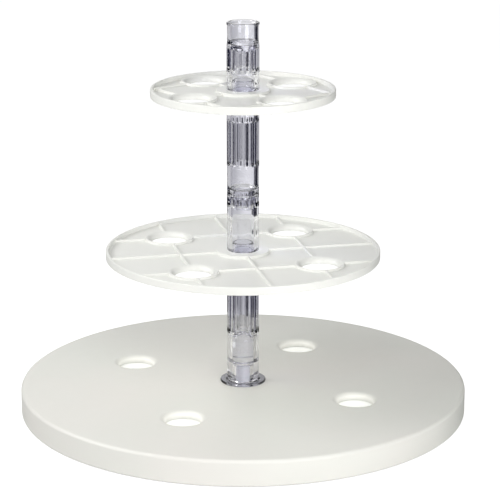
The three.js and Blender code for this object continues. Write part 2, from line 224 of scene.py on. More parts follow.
def with_rows(outline, heights):
    """The closed outline with extra points where its upright stretches pass the given heights."""
    points = []
    for here, ahead in zip(outline, outline[1:] + outline[:1]):
        points.append(here)
        if abs(here[0] - ahead[0]) > 1e-6:
            continue
        lowest, highest = sorted((here[1], ahead[1]))
        between = sorted({h for h in heights if lowest + 0.05 < h < highest - 0.05})
        if here[1] > ahead[1]:
            between.reverse()
        points.extend((here[0], height) for height in between)
    return points


def new_piece(name, vertices, faces):
    mesh = bpy.data.meshes.new(name)
    mesh.from_pydata([Vector(v) * MM for v in vertices], [], faces)
    piece = bpy.data.objects.new(name, mesh)
    bpy.context.scene.collection.objects.link(piece)
    shape = bmesh.new()
    shape.from_mesh(mesh)
    bmesh.ops.recalc_face_normals(shape, faces=shape.faces)
    shape.to_mesh(mesh)
    shape.free()
    return piece


def turned(name, outline, steps, relief=None):
    """An outline turned about the Z axis. It starts and ends on the axis, or closes on itself."""
    vertices = []
    rings = []
    for radius, height in outline:
        if radius == 0:
            rings.append([len(vertices)])
            vertices.append((0, 0, height))
            continue
        rings.append(list(range(len(vertices), len(vertices) + steps)))
        for i in range(steps):
            angle = 2 * math.pi * i / steps
            size = radius - (relief(angle, radius, height) if relief else 0)
            vertices.append((size * math.cos(angle), size * math.sin(angle), height))
    pairs = list(zip(rings, rings[1:]))
    if outline[0][0] != 0:
        pairs.append((rings[-1], rings[0]))
    faces = []
    for lower, upper in pairs:
        for i in range(steps):
            j = (i + 1) % steps
            corners = (
                lower[i % len(lower)], lower[j % len(lower)],
                upper[j % len(upper)], upper[i % len(upper)],
            )
            faces.append(tuple(dict.fromkeys(corners)))
    return new_piece(name, vertices, faces)


def rod(name, radius, bottom, top, steps=HOLE_STEPS):
    return turned(name, [(0, bottom), (radius, bottom), (radius, top), (0, top)], steps)


def bar(name, section, length):
    """A straight bar along X with the given (across, height) section."""
    count = len(section)
    vertices = [(x, across, height) for x in (-length / 2, length / 2) for across, height in section]
    faces = [tuple(range(count)), tuple(range(count, 2 * count))]
    for i in range(count):
        j = (i + 1) % count
        faces.append((i, j, count + j, count + i))
    return new_piece(name, vertices, faces)


def place(piece, turn=0, distance=0, height=0, offset=0):
    """Moves a mesh out along X and aside along Y, turns it about the column, then lifts it."""
    shift = Matrix.Translation(Vector((distance, offset, 0)) * MM)
    turn_about_column = Matrix.Rotation(math.radians(turn), 4, "Z")
    lift = Matrix.Translation(Vector((0, 0, height)) * MM)
    piece.data.transform(lift @ turn_about_column @ shift)
    return piece


def combine(piece, tools, operation):
    """Joins the tools to a piece, or cuts them from it, and removes them."""
    for tool in tools:
        modifier = piece.modifiers.new(tool.name, "BOOLEAN")
        modifier.solver = "MANIFOLD"
        modifier.operation = operation
        modifier.object = tool
    graph = bpy.context.evaluated_depsgraph_get()
    mesh = bpy.data.meshes.new_from_object(piece.evaluated_get(graph))
    piece.modifiers.clear()
    piece.data = mesh
    for tool in tools:
        bpy.data.objects.remove(tool)
    return piece


def finish_mesh(piece, sharp=32):
    """Smooth shading that breaks at sharp edges and keeps flat faces flat."""
    shape = bmesh.new()
    shape.from_mesh(piece.data)
    bmesh.ops.remove_doubles(shape, verts=shape.verts, dist=0.002 * MM)
    bmesh.ops.dissolve_degenerate(shape, edges=shape.edges, dist=0.001 * MM)
    for face in shape.faces:
        face.smooth = True
    limit = math.radians(sharp)
    for edge in shape.edges:
        edge.smooth = len(edge.link_faces) == 2 and edge.calc_face_angle(0) < limit
    shape.to_mesh(piece.data)
    shape.free()
    weighted = piece.modifiers.new("flat_faces_stay_flat", "WEIGHTED_NORMAL")
    weighted.keep_sharp = True
    return piece


def install(piece, node, material):
    """Puts a finished piece in a CAD node's place, on the body that the node rides on."""
    piece.data.materials.clear()
    piece.data.materials.append(material)
    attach(piece, frame["nodes"][node]["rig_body"])
    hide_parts(node)
    return piece


# ---- materials ----


def new_material(name):
    material = bpy.data.materials.new(name)
    material.use_nodes = True
    nodes = material.node_tree.nodes
    return material, nodes, material.node_tree.links, nodes["Principled BSDF"]


def noise(nodes, links, scale, detail, stretch=(1, 1, 1)):
    """Noise in the piece's own space. Scale counts features to the metre."""
    place_at = nodes.new("ShaderNodeTexCoord")
    mapping = nodes.new("ShaderNodeMapping")
    mapping.inputs["Scale"].default_value = stretch
    texture = nodes.new("ShaderNodeTexNoise")
    texture.inputs["Scale"].default_value = scale
    texture.inputs["Detail"].default_value = detail
    links.new(place_at.outputs["Object"], mapping.inputs["Vector"])
    links.new(mapping.outputs["Vector"], texture.inputs["Vector"])
    return texture.outputs["Fac"]


def map_range(nodes, links, value, span, results=(0, 1)):
    """Maps a span of values to a range of results, and holds the ends beyond it."""
    node = nodes.new("ShaderNodeMapRange")
    node.inputs["From Min"].default_value, node.inputs["From Max"].default_value = span
    node.inputs["To Min"].default_value, node.inputs["To Max"].default_value = results
    links.new(value, node.inputs["Value"])
    return node.outputs["Result"]


def spread(nodes, links, value, lowest, highest):
    """Maps the middle of a noise to a range."""
    return map_range(nodes, links, value, (0.3, 0.7), (lowest, highest))


def calculate(nodes, links, kind, operation, *values):
    """One step of arithmetic, kind Math or VectorMath, on linked or fixed values."""
    node = nodes.new(f"ShaderNode{kind}")
    node.operation = operation
    for socket, value in zip(node.inputs, values):
        if isinstance(value, bpy.types.NodeSocket):
            links.new(value, socket)
        else:
            socket.default_value = value
    gives_number = kind == "Math" or operation in ("LENGTH", "DOT_PRODUCT")
    return node.outputs["Value" if gives_number else "Vector"]


def split(nodes, links, vector):
    """The X, Y and Z of a vector, by name."""
    node = nodes.new("ShaderNodeSeparateXYZ")
    links.new(vector, node.inputs["Vector"])
    return node.outputs


def mix_colours(nodes, links, share, first, second):
    """Two linked or fixed colours mixed by a linked share of the second."""
    node = nodes.new("ShaderNodeMixRGB")
    links.new(share, node.inputs["Fac"])
    for socket, colour in ((node.inputs["Color1"], first), (node.inputs["Color2"], second)):
        if isinstance(colour, tuple):
            socket.default_value = (*colour, 1)
        else:
            links.new(colour, socket)
    return node.outputs["Color"]


def by_ray(nodes, links, ray, seen_by_ray, seen_by_rest):
    """Shows one shader to a kind of ray and another shader to the rest."""
    rays = nodes.new("ShaderNodeLightPath")
    choice = nodes.new("ShaderNodeMixShader")
    links.new(rays.outputs[ray], choice.inputs[0])
    links.new(seen_by_rest, choice.inputs[1])
    links.new(seen_by_ray, choice.inputs[2])
    return choice.outputs["Shader"]


def bump(nodes, links, height, strength, depth):
    node = nodes.new("ShaderNodeBump")
    node.inputs["Strength"].default_value = strength
    node.inputs["Distance"].default_value = depth * MM
    links.new(height, node.inputs["Height"])
    return node.outputs["Normal"]


def moulded_plastic(name, colour, shade, roughness):
    """Opaque moulded plastic: a fine-grained satin skin with faint clouding and flow variation."""
    material, nodes, links, skin = new_material(name)
    clouding = spread(nodes, links, noise(nodes, links, 5, 3), 0, 1)
    links.new(mix_colours(nodes, links, clouding, colour, shade), skin.inputs["Base Color"])
    sheen = spread(nodes, links, noise(nodes, links, 90, 4), roughness - 0.05, roughness + 0.06)
    links.new(sheen, skin.inputs["Roughness"])
    grain = bump(nodes, links, noise(nodes, links, 1400, 2), 0.12, 0.05)
    links.new(grain, skin.inputs["Normal"])
    skin.inputs["IOR"].default_value = 1.5
    return material


def own_place(nodes):
    """The piece's own coordinates, whose origin is on the column's axis at table height."""
    return nodes.new("ShaderNodeTexCoord").outputs["Object"]


def level_distance(nodes, links):
    """The piece's coordinates without their height, and their distance from the column's axis."""
    level = calculate(nodes, links, "VectorMath", "MULTIPLY", own_place(nodes), (1, 1, 0))
    return level, calculate(nodes, links, "VectorMath", "LENGTH", level)


def add_painted_glow(material, colour, height_spans):
    """Adds a painted glow, which no lamp gives, out to the distances from the axis where both glows end: the
    product of (from, to, result at from, result at to) of height.
    """
    nodes = material.node_tree.nodes
    links = material.node_tree.links
    height = split(nodes, links, own_place(nodes))["Z"]
    _, away = level_distance(nodes, links)
    product = map_range(nodes, links, away, [MM * distance for distance in PAINTED_GLOW_REACH], (1, 0))
    for lowest, highest, at_lowest, at_highest in height_spans:
        factor = map_range(nodes, links, height, (lowest * MM, highest * MM), (at_lowest, at_highest))
        product = calculate(nodes, links, "Math", "MULTIPLY", product, factor)
    skin = nodes["Principled BSDF"]
    skin.inputs["Emission Color"].default_value = (*colour, 1)
    links.new(product, skin.inputs["Emission Strength"])


def sleeves_with_painted_glow(name, colour, shade, roughness):
    """Moulded plastic with a painted glow on its thin sleeves, above the cover's floor."""
    material = moulded_plastic(name, colour, shade, roughness)
    floor_top = COVER_BOTTOM + COVER_THICKNESS
    sleeve_top = BASE_TOP - MOUTH_DEPTH - LINER_TOP_GAP
    add_painted_glow(material, colour, (
        (floor_top, floor_top + 3, 0, SLEEVE_GLOW),
        (sleeve_top - SLEEVE_EDGE, sleeve_top, 1, SLEEVE_EDGE_GLOW),
    ))
    return material


def mouths_with_painted_glow(name, colour, shade, roughness):
    """Moulded plastic with a painted glow on its rounded hole mouths."""
    material = moulded_plastic(name, colour, shade, roughness)
    add_painted_glow(material, colour, (
        (BASE_TOP - MOUTH_DEPTH, BASE_TOP - LIP_PEAK, 0, LIP_GLOW),
        (BASE_TOP - LIP_PEAK, BASE_TOP - 0.1, 1, 0),
    ))
    return material


def tint_with_painted_groove_shade(nodes, links, away, tint):
    """The tint, with painted shade where the distance from the axis is that of the flute floors."""
    inner = BORE_RADIUS + 1
    floor_radius = FLUTE_RADIUS - FLUTE_DEPTH
    radii = (floor_radius - 0.5, floor_radius, floor_radius + 0.15, floor_radius + 0.9)
    ramp = nodes.new("ShaderNodeValToRGB")
    stops = ramp.color_ramp.elements
    stops.new(0.5)
    stops.new(0.6)
    for stop, radius, colour in zip(stops, radii, (tint, PAINTED_GROOVE_SHADE, PAINTED_GROOVE_SHADE, tint)):
        stop.position = (radius - inner) / (FLUTE_RADIUS - inner)
        stop.color = (*colour, 1)
    links.new(map_range(nodes, links, away, (inner * MM, FLUTE_RADIUS * MM)), ramp.inputs["Fac"])
    return ramp.outputs["Color"]


def tint_with_painted_shade(nodes, links, tint):
    """The tint, with painted shade on the flange and on the upright floors of the flutes, most of all
    edge-on.
    """
    level, away = level_distance(nodes, links)
    facing = nodes.new("ShaderNodeNewGeometry")
    upward = split(nodes, links, facing.outputs["Normal"])["Z"]
    lying = calculate(nodes, links, "Math", "ABSOLUTE", upward)
    outward = calculate(nodes, links, "VectorMath", "NORMALIZE", level)
    along = calculate(nodes, links, "VectorMath", "DOT_PRODUCT", outward, facing.outputs["Incoming"])
    head_on = calculate(nodes, links, "Math", "ABSOLUTE", along)
    paler = map_range(nodes, links, head_on, (0.6, 0.95), (0, GROOVE_PALER))
    untinted = calculate(nodes, links, "Math", "MAXIMUM", lying, paler)
    # Painted shade on the flute floors, kept off level faces and fading when seen head-on.
    shaded = mix_colours(nodes, links, untinted, tint_with_painted_groove_shade(nodes, links, away, tint), tint)
    # Beyond the flange's radius the clear plastic gets painted shade.
    on_flange = calculate(nodes, links, "Math", "GREATER_THAN", away, FLANGE_STARTS * MM)
    return mix_colours(nodes, links, on_flange, shaded, PAINTED_FLANGE_SHADE)


def clear_plastic(name, tint, roughness):
    """Clear moulded plastic: slight tint, painted shade on flute floors and flange, faint upright flow
    lines. Lamps shine through it.
    """
    material, nodes, links, body = new_material(name)
    links.new(tint_with_painted_shade(nodes, links, tint), body.inputs["Base Color"])
    body.inputs["Transmission Weight"].default_value = 1
    body.inputs["Roughness"].default_value = roughness
    body.inputs["IOR"].default_value = 1.5
    flow = noise(nodes, links, 120, 3, stretch=(1, 1, 0.15))
    links.new(bump(nodes, links, flow, 0.25, 0.25), body.inputs["Normal"])
    see_through = nodes.new("ShaderNodeBsdfTransparent")
    see_through.inputs["Color"].default_value = (*CLEAR_SHADOW, 1)
    surface = by_ray(nodes, links, "Is Shadow Ray", see_through.outputs["BSDF"], body.outputs["BSDF"])
    links.new(surface, nodes["Material Output"].inputs["Surface"])
    return material


def plated_steel(name):
    """Plated metal with a faintly streaked polish."""
    material, nodes, links, metal = new_material(name)
    metal.inputs["Metallic"].default_value = 1
    tone = spread(nodes, links, noise(nodes, links, 300, 3), 0, 1)
    plating = mix_colours(nodes, links, tone, (0.66, 0.67, 0.69), (0.56, 0.56, 0.55))
    links.new(plating, metal.inputs["Base Color"])
    polish = spread(nodes, links, noise(nodes, links, 900, 2, stretch=(1, 8, 1)), 0.24, 0.42)
    links.new(polish, metal.inputs["Roughness"])
    links.new(bump(nodes, links, noise(nodes, links, 1600, 2), 0.1, 0.03), metal.inputs["Normal"])
    return material


def dark_rubber(name):
    """Dull black rubber with a fine grain."""
    material, nodes, links, skin = new_material(name)
    tone = spread(nodes, links, noise(nodes, links, 220, 3), 0, 1)
    dusty = mix_colours(nodes, links, tone, (0.022, 0.022, 0.024), (0.05, 0.05, 0.05))
    links.new(dusty, skin.inputs["Base Color"])
    skin.inputs["Roughness"].default_value = 0.8
    links.new(bump(nodes, links, noise(nodes, links, 1100, 3), 0.4, 0.08), skin.inputs["Normal"])
    return material


# The base's hole mouths and the cover's sleeves have a painted glow.
BASE_WHITE = mouths_with_painted_glow("base_white", (0.84, 0.82, 0.775), (0.805, 0.815, 0.76), 0.45)
COVER_WHITE = sleeves_with_painted_glow("cover_white", (0.86, 0.86, 0.83), (0.83, 0.84, 0.81), 0.45)
PLATE_WHITE = moulded_plastic("plate_white", (0.885, 0.885, 0.845), (0.865, 0.875, 0.83), 0.36)
BOLT_GREY = moulded_plastic("bolt_grey", (0.56, 0.56, 0.58), (0.52, 0.52, 0.53), 0.5)
CLEAR = clear_plastic("clear_column", (0.93, 0.93, 0.96), 0.02)
CLEAR_WASHER = clear_plastic("clear_washer", (0.9, 0.9, 0.93), 0.25)
STEEL = plated_steel("zinc_plate")
RUBBER = dark_rubber("foot_rubber")

# ---- base ----


def base_shell():
    """The base's top and skirt, stiffened underneath, with posts for the screws and rounded hole mouths."""
    skin_under = BASE_TOP - SKIN
    outline = rounded([
        (BASE_RADIUS - WALL, BASE_BOTTOM, 0.6),
        (BASE_RADIUS, BASE_BOTTOM, 2),
        (BASE_RADIUS, BASE_TOP, 4),
        (BOLT_HOLE_RADIUS, BASE_TOP, 0.5),
        (BOLT_HOLE_RADIUS, HUB_BOTTOM, 0.5),
        (HUB_RADIUS, HUB_BOTTOM, 1),
        (HUB_RADIUS, skin_under, 2),
        (BASE_RADIUS - WALL, skin_under, 2),
    ])
    shell = turned("base_shell_moulding", outline, BASE_STEPS)
    mouth = BASE_HOLE_RADIUS + BASE_LIP_ROUND
    cutter_outline = rounded([
        (0, BASE_BOTTOM),
        (BASE_HOLE_RADIUS, BASE_BOTTOM),
        (BASE_HOLE_RADIUS, BASE_TOP, BASE_LIP_ROUND),
        (mouth + 6, BASE_TOP),
        (mouth + 6, BASE_TOP + 1),
        (0, BASE_TOP + 1),
    ])
    length = BASE_RADIUS - WALL - HUB_RADIUS + 4
    half = STIFFENER_THICKNESS / 2
    bottom = skin_under - STIFFENER_DEPTH
    section = [(-half, bottom), (half, bottom), (half, skin_under + 1), (-half, skin_under + 1)]
    added = []
    removed = []
    for quarter in QUARTERS:
        stiffener = bar("stiffener", section, length)
        added.append(place(stiffener, quarter + 45 + BASE_TURN, HUB_RADIUS - 2 + length / 2))
        post = rod("post", POST_RADIUS, COVER_BOTTOM + COVER_THICKNESS + 0.1, skin_under + 1)
        added.append(place(post, quarter + 60 + BASE_TURN, POST_CIRCLE))
        pilot = rod("pilot", SCREW_HOLE_RADIUS, COVER_BOTTOM, skin_under - 2)
        removed.append(place(pilot, quarter + 60 + BASE_TURN, POST_CIRCLE))
        collar = rod("collar", BASE_HOLE_RADIUS + MOUTH_WALL, BASE_TOP - MOUTH_DEPTH, skin_under + 1)
        added.append(place(collar, quarter + BASE_TURN, BASE_HOLE_CIRCLE))
        hole = turned("hole", cutter_outline, HOLE_STEPS)
        removed.append(place(hole, quarter + BASE_TURN, BASE_HOLE_CIRCLE))
    combine(shell, added, "UNION")
    combine(shell, removed, "DIFFERENCE")
    install(finish_mesh(shell), "base_shell", BASE_WHITE)


def base_cover():
    """The bottom cover, with a sleeve up each hole and a cup for each foot."""
    top = COVER_BOTTOM + COVER_THICKNESS
    cover = turned("base_cover_moulding", rounded([
        (HUB_RADIUS + 1, COVER_BOTTOM, 0.5),
        (BASE_RADIUS - WALL - COVER_GAP, COVER_BOTTOM, 0.5),
        (BASE_RADIUS - WALL - COVER_GAP, top, 0.5),
        (HUB_RADIUS + 1, top, 0.5),
    ]), BASE_STEPS)
    sleeve_top = BASE_TOP - MOUTH_DEPTH - LINER_TOP_GAP
    foot_top = high("foot_1") + 0.1
    foot_space = reach_of_foot() + FIT_GAP
    added = []
    removed = []
    for quarter in QUARTERS:
        turn = quarter + BASE_TURN
        sleeve = turned("sleeve", rounded([
            (0, COVER_BOTTOM + 1),
            (BASE_HOLE_RADIUS + LINER_WALL, COVER_BOTTOM + 1),
            (BASE_HOLE_RADIUS + LINER_WALL, sleeve_top, 0.6),
            (0, sleeve_top),
        ]), HOLE_STEPS)
        added.append(place(sleeve, turn, BASE_HOLE_CIRCLE))
        cup = rod("foot_cup", foot_space + 2, COVER_BOTTOM + 1, foot_top + 2)
        added.append(place(cup, turn, FOOT_CIRCLE))
        bore = rod("bore", BASE_HOLE_RADIUS, COVER_BOTTOM - 1, sleeve_top + 1)
        removed.append(place(bore, turn, BASE_HOLE_CIRCLE))
        seat = rod("foot_seat", foot_space, COVER_BOTTOM - 1, foot_top)
        removed.append(place(seat, turn, FOOT_CIRCLE))
        screw_hole = rod("screw_hole", SCREW_HOLE_RADIUS, COVER_BOTTOM - 1, top + 1)
        removed.append(place(screw_hole, turn + 60, POST_CIRCLE))
    combine(cover, added, "UNION")
    combine(cover, removed, "DIFFERENCE")
    install(finish_mesh(cover), "base_cover", COVER_WHITE)


def reach_of_foot():
    """Radius of a foot, from the size of its solid."""
    centre = middle_of("foot_1")
    corners = frame["nodes"]["foot_1"].data.vertices
    return max(math.hypot(v.co.x - centre.x, v.co.y - centre.y) for v in corners) / MM


def feet():
    """Rubber pads with a bevelled edge and two moulded rings on the tread."""
    radius = reach_of_foot()
    height = high("foot_1")
    for i, quarter in enumerate(QUARTERS, start=1):
        foot = turned(f"foot_{i}_rubber", rounded([
            (0, 0.5), (2.5, 0.5, 0.2), (3, 0, 0.2), (4.2, 0, 0.2), (4.7, 0.5, 0.2), (5.4, 0.5, 0.2),
            (5.9, 0, 0.2), (radius - 0.8, 0, 0.6), (radius, 0.8, 0.6), (radius, height, 0.4), (0, height),
        ]), HOLE_STEPS)
        place(foot, quarter + BASE_TURN, FOOT_CIRCLE)
        install(finish_mesh(foot), f"foot_{i}", RUBBER)


def cover_screws():
    """Pan-head screws with a cross recess, driven upwards."""
    bottom = low("cover_screw_1")
    top = high("cover_screw_1")
    head_top = bottom + 1.8
    pitch = 1.3
    threads = []
    height = head_top + 2.5
    while height < top - 3:
        threads += [(1.5, height), (1.8, height + pitch / 2)]
        height += pitch
    for i, quarter in enumerate(QUARTERS, start=1):
        screw = turned(f"cover_screw_{i}_steel", rounded([
            (0, bottom), (3.0, bottom, 0.5), (3.6, head_top - 0.5, 0.3), (3.6, head_top, 0.1),
            (1.8, head_top, 0.2), (1.8, head_top + 2), *threads, (1.5, top - 2.5), (0, top),
        ]), 48)
        recess = [(-0.35, bottom - 1), (0.35, bottom - 1), (0.25, bottom + 1), (-0.25, bottom + 1)]
        slots = [place(bar("slot", recess, 3.6), turn) for turn in (0, 90)]
        combine(screw, slots, "DIFFERENCE")
        place(screw, quarter + 60 + BASE_TURN, POST_CIRCLE)
        install(finish_mesh(screw), f"cover_screw_{i}", STEEL)


def bolt_washer():
    """The steel washer between the bolt's head and the base's hub."""
    bottom = low("bolt_washer")
    top = high("bolt_washer")
    outer = reach("bolt_washer")
    washer = turned("bolt_washer_steel", rounded([
        (BOLT_HOLE_RADIUS, bottom, 0.2), (outer, bottom, 0.4),
        (outer, top, 0.4), (BOLT_HOLE_RADIUS, top, 0.2),
    ]), HOLE_STEPS)
    install(finish_mesh(washer), "bolt_washer", STEEL)


def base_bolt():
    """Grey moulded bolt with a coin slot, a knurled head and a plain shank."""
    bottom = low("base_bolt")
    top = high("base_bolt")
    head_top = bottom + 4
    head = reach("base_bolt")
    shank = 7.7
    outline = rounded([
        (0, bottom), (head, bottom, 1.2), (head, head_top, 0.4), (shank, head_top, 0.4),
        (shank, top, 1.2), (0, top),
    ])

    def knurl(angle, radius, _height):
        return 0.2 * (1 - math.cos(40 * angle)) if abs(radius - head) < 0.01 else 0

    bolt = turned("base_bolt_moulding", outline, 240, knurl)
    half = 1.25
    slot = [(-half, bottom - 1), (half, bottom - 1), (half, bottom + 1.8), (-half, bottom + 1.8)]
    combine(bolt, [place(bar("slot", slot, 2 * head + 2), BASE_TURN)], "DIFFERENCE")
    install(finish_mesh(bolt), "base_bolt", BOLT_GREY)


# ---- plates ----

WEB_MIDDLE = (WEB_BOTTOM + WEB_TOP) / 2


def rib_section():
    """A rib with a rounded top and a flared foot, (across, height)."""
    half = RIB_WIDTH / 2
    foot = half + 1.2
    side = rounded([(foot, WEB_MIDDLE), (foot, WEB_TOP), (half + 0.15, WEB_TOP + 0.02, 0.9),
                    (half - 0.1, RIB_TOP, 0.6), (0, RIB_TOP)])
    return side[:-1] + [(-across, height) for across, height in reversed(side[:-1])]


def plate(node, hole_circle, turn, rib_turn, rib_offset):
    """A thin web with rim, ribs, boss and ringed holes, moulded in one with soft edges."""
    radius = reach(node)
    height = high(node) - low(node)
    inner = radius - RIM_WIDTH
    piece = turned(f"{node}_moulding", rounded([
        (inner - 2, WEB_MIDDLE), (inner - 2, WEB_TOP), (inner - 0.1, WEB_TOP + 0.02, 1.2),
        (inner + 0.3, height, 0.9), (radius, height, 1.1), (radius, 0, 0.7),
        (inner + 0.2, 0, 0.6), (inner, WEB_BOTTOM - 0.02, 0.3), (inner - 2, WEB_BOTTOM),
    ]), BASE_STEPS)
    web = rod("web", radius - RIM_WIDTH / 2, WEB_BOTTOM, WEB_TOP, BASE_STEPS)
    boss = turned("boss", rounded([
        (0, 0), (BOSS_RADIUS - 0.3, 0, 0.6), (BOSS_RADIUS, WEB_MIDDLE), (BOSS_RADIUS + 1.6, WEB_MIDDLE),
        (BOSS_RADIUS + 1.6, WEB_TOP), (BOSS_RADIUS, WEB_TOP + 0.02, 1.0), (BOSS_RADIUS - 0.3, BOSS_TOP, 0.8),
        (0, BOSS_TOP),
    ]), HOLE_STEPS)
    added = [web, boss]
    for family in (0, 90):
        for offset in (-rib_offset, 0, rib_offset):
            chord = 2 * math.sqrt((radius - RIM_WIDTH / 2) ** 2 - offset**2)
            rib = bar("rib", rib_section(), chord)
            added.append(place(rib, turn + rib_turn + family, 0, -0.04 if family else 0, offset))
    cutters = [rod("bore", SPIGOT_RADIUS + FIT_GAP, -1, BOSS_TOP + 1)]
    mouth = PLATE_HOLE_RADIUS + PLATE_MOUTH_ROUND + 0.3
    for quarter in QUARTERS:
        ring = turned("ring", rounded([
            (0, 0), (RING_RADIUS - 0.3, 0, 0.6), (RING_RADIUS, WEB_MIDDLE), (RING_RADIUS + 1.4, WEB_MIDDLE),
            (RING_RADIUS + 1.4, WEB_TOP), (RING_RADIUS, WEB_TOP + 0.02, 0.9),
            (RING_RADIUS - 0.25, RIB_TOP + 0.06, 0.8), (0, RIB_TOP + 0.06),
        ]), HOLE_STEPS)
        added.append(place(ring, quarter + turn, hole_circle))
        hole = turned("hole", rounded([
            (0, -1), (PLATE_HOLE_RADIUS + 1, -1), (PLATE_HOLE_RADIUS + 1, 0), (PLATE_HOLE_RADIUS, 0, 0.6),
            (PLATE_HOLE_RADIUS, RIB_TOP + 0.06, PLATE_MOUTH_ROUND), (mouth, RIB_TOP + 0.06),
            (mouth, height + 1), (0, height + 1),
        ]), HOLE_STEPS)
        cutters.append(place(hole, quarter + turn, hole_circle))
    combine(piece, added, "UNION")
    combine(piece, cutters, "DIFFERENCE")
    place(piece, height=low(node))
    install(finish_mesh(piece), node, PLATE_WHITE)


def plates():
    plate("middle_plate", MIDDLE_HOLE_CIRCLE, MIDDLE_TURN, 0, MIDDLE_HOLE_CIRCLE * math.sqrt(0.5))
    plate("top_plate", TOP_HOLE_CIRCLE, TOP_TURN, 45, TOP_HOLE_CIRCLE)


# ---- column ----


def fluting(bottom, top):
    """Depth of the arched grooves between two heights, and the rows of points they need."""
    low_end = bottom + BASE_TOP
    high_end = top + BASE_TOP
    pitch = 2 * math.pi / FLUTE_COUNT

    def relief(angle, radius, height):
        if abs(radius - FLUTE_RADIUS) > 0.01:
            return 0
        across = radius * ((angle - math.radians(FLUTE_TURN)) % pitch - pitch / 2)
        beyond = max(low_end + FLUTE_HALF - height, height - high_end + FLUTE_HALF, 0)
        share = min(1, math.hypot(across, beyond) / FLUTE_HALF)
        return FLUTE_DEPTH * (1 + math.cos(math.pi * share)) / 2

    rows = []
    for i in range(FLUTE_END_STEPS + 1):
        inward = FLUTE_HALF * i / FLUTE_END_STEPS
        rows += [low_end + inward, high_end - inward]
    return relief, rows


def clear_piece(node, corners, flutes=(None, ())):
    """A turned piece of the clear column. Corner heights count from the base's top face."""
    relief, rows = flutes
    outline = rounded([(corner[0], corner[1] + BASE_TOP, *corner[2:]) for corner in corners])
    piece = turned(f"{node}_clear", with_rows(outline, rows), COLUMN_STEPS, relief)
    install(finish_mesh(piece, COLUMN_SHARP), node, CLEAR)


def above_base(node):
    """Lowest and highest point of a node, counted from the base's top face."""
    return low(node) - BASE_TOP, high(node) - BASE_TOP


def column_socket():
    """The flanged foot of the column, with a domed spigot and a blind bore for the bolt."""
    bottom, top = above_base("column_socket")
    flange = reach("column_socket")
    clear_piece("column_socket", [
        (BOLT_HOLE_RADIUS, bottom, 0.3), (flange, bottom, 0.4), (flange, bottom + FLANGE_THICKNESS, 0.9),
        (COLLAR_RADIUS, bottom + FLANGE_THICKNESS, 2.2), (COLLAR_RADIUS, SOCKET_TOP, 0.8),
        (SPIGOT_RADIUS, SOCKET_TOP, 0.6), (SPIGOT_RADIUS, top, 9), (NEAR_AXIS, top),
        (NEAR_AXIS, BOLT_BORE_TOP), (BOLT_HOLE_RADIUS, BOLT_BORE_TOP, 1.5),
    ])


def lower_column():
    """Collar, long fluted length and a hollow spigot through the middle plate."""
    bottom, top = above_base("lower_column")
    shoulder = LOWER_SHOULDER
    throat = SOCKET_SPIGOT_TOP + 3
    flutes = bottom + LONG_COLLAR
    clear_piece("lower_column", [
        (SPIGOT_RADIUS + FIT_GAP, bottom, 0.5), (COLLAR_RADIUS, bottom, 0.7),
        (COLLAR_RADIUS, flutes - 0.8, 0.4),
        (FLUTE_RADIUS, flutes, 0.4), (FLUTE_RADIUS, shoulder, 0.8), (SPIGOT_RADIUS, shoulder, 0.4),
        (SPIGOT_RADIUS, top, 1.4), (SPIGOT_BORE, top, 0.7), (SPIGOT_BORE, shoulder - 6, 2),
        (BORE_RADIUS, shoulder - 6, 3), (BORE_RADIUS, throat, 1.2), (SPIGOT_RADIUS + FIT_GAP, throat, 0.8),
    ], fluting(flutes + 1, shoulder - 3))


def middle_coupler():
    """Long plain length with a short fluted band under its joint."""
    bottom, top = above_base("middle_coupler")
    band = COUPLER_BAND_BOTTOM
    clear_piece("middle_coupler", [
        (SPIGOT_RADIUS + FIT_GAP, bottom, 0.5), (COLLAR_RADIUS, bottom, 0.7),
        (COLLAR_RADIUS, band - 0.8, 0.4),
        (FLUTE_RADIUS, band, 0.4), (FLUTE_RADIUS, top, 0.9), (SPIGOT_RADIUS + FIT_GAP, top, 0.5),
    ], fluting(band + 1, top - 1))


def upper_column():
    """A plug, a plain collar, a long fluted length, a rim and a spigot through the top plate."""
    bottom, top = above_base("upper_column")
    collar = COUPLER_TOP + 0.1
    flutes = collar + LONG_COLLAR
    shoulder = UPPER_SHOULDER
    rim = UPPER_RIM_BOTTOM
    clear_piece("upper_column", [
        (SPIGOT_BORE, bottom, 0.8), (SPIGOT_RADIUS, bottom, 1.4), (SPIGOT_RADIUS, collar, 0.4),
        (COLLAR_RADIUS, collar, 0.8), (COLLAR_RADIUS, flutes - 0.8, 0.4), (FLUTE_RADIUS, flutes, 0.4),
        (FLUTE_RADIUS, rim + 6, 0.8), (COLLAR_RADIUS, rim + 6.2, 0.5), (COLLAR_RADIUS, shoulder, 0.8),
        (SPIGOT_RADIUS, shoulder, 0.4), (SPIGOT_RADIUS, top, 1.4), (SPIGOT_BORE, top, 0.7),
        (SPIGOT_BORE, shoulder - 6, 2), (BORE_RADIUS, shoulder - 6, 3), (BORE_RADIUS, collar + 6, 3),
        (SPIGOT_BORE, collar + 6, 2),
    ], fluting(flutes + 1, rim - 1))


def top_section():
    """Plain collar above the top plate, then a short fluted length."""
    bottom, top = above_base("top_section")
    collar = bottom + SHORT_COLLAR
    clear_piece("top_section", [
        (SPIGOT_RADIUS + FIT_GAP, bottom, 0.5), (COLLAR_RADIUS, bottom, 0.7),
        (COLLAR_RADIUS, collar - 0.8, 0.4),
        (FLUTE_RADIUS, collar, 0.4), (FLUTE_RADIUS, top - 2, 0.8), (COLLAR_RADIUS, top - 1.8, 0.3),
        (COLLAR_RADIUS, top, 0.4), (SPIGOT_RADIUS + FIT_GAP, top, 0.4),
    ], fluting(collar + 1, top - 3))


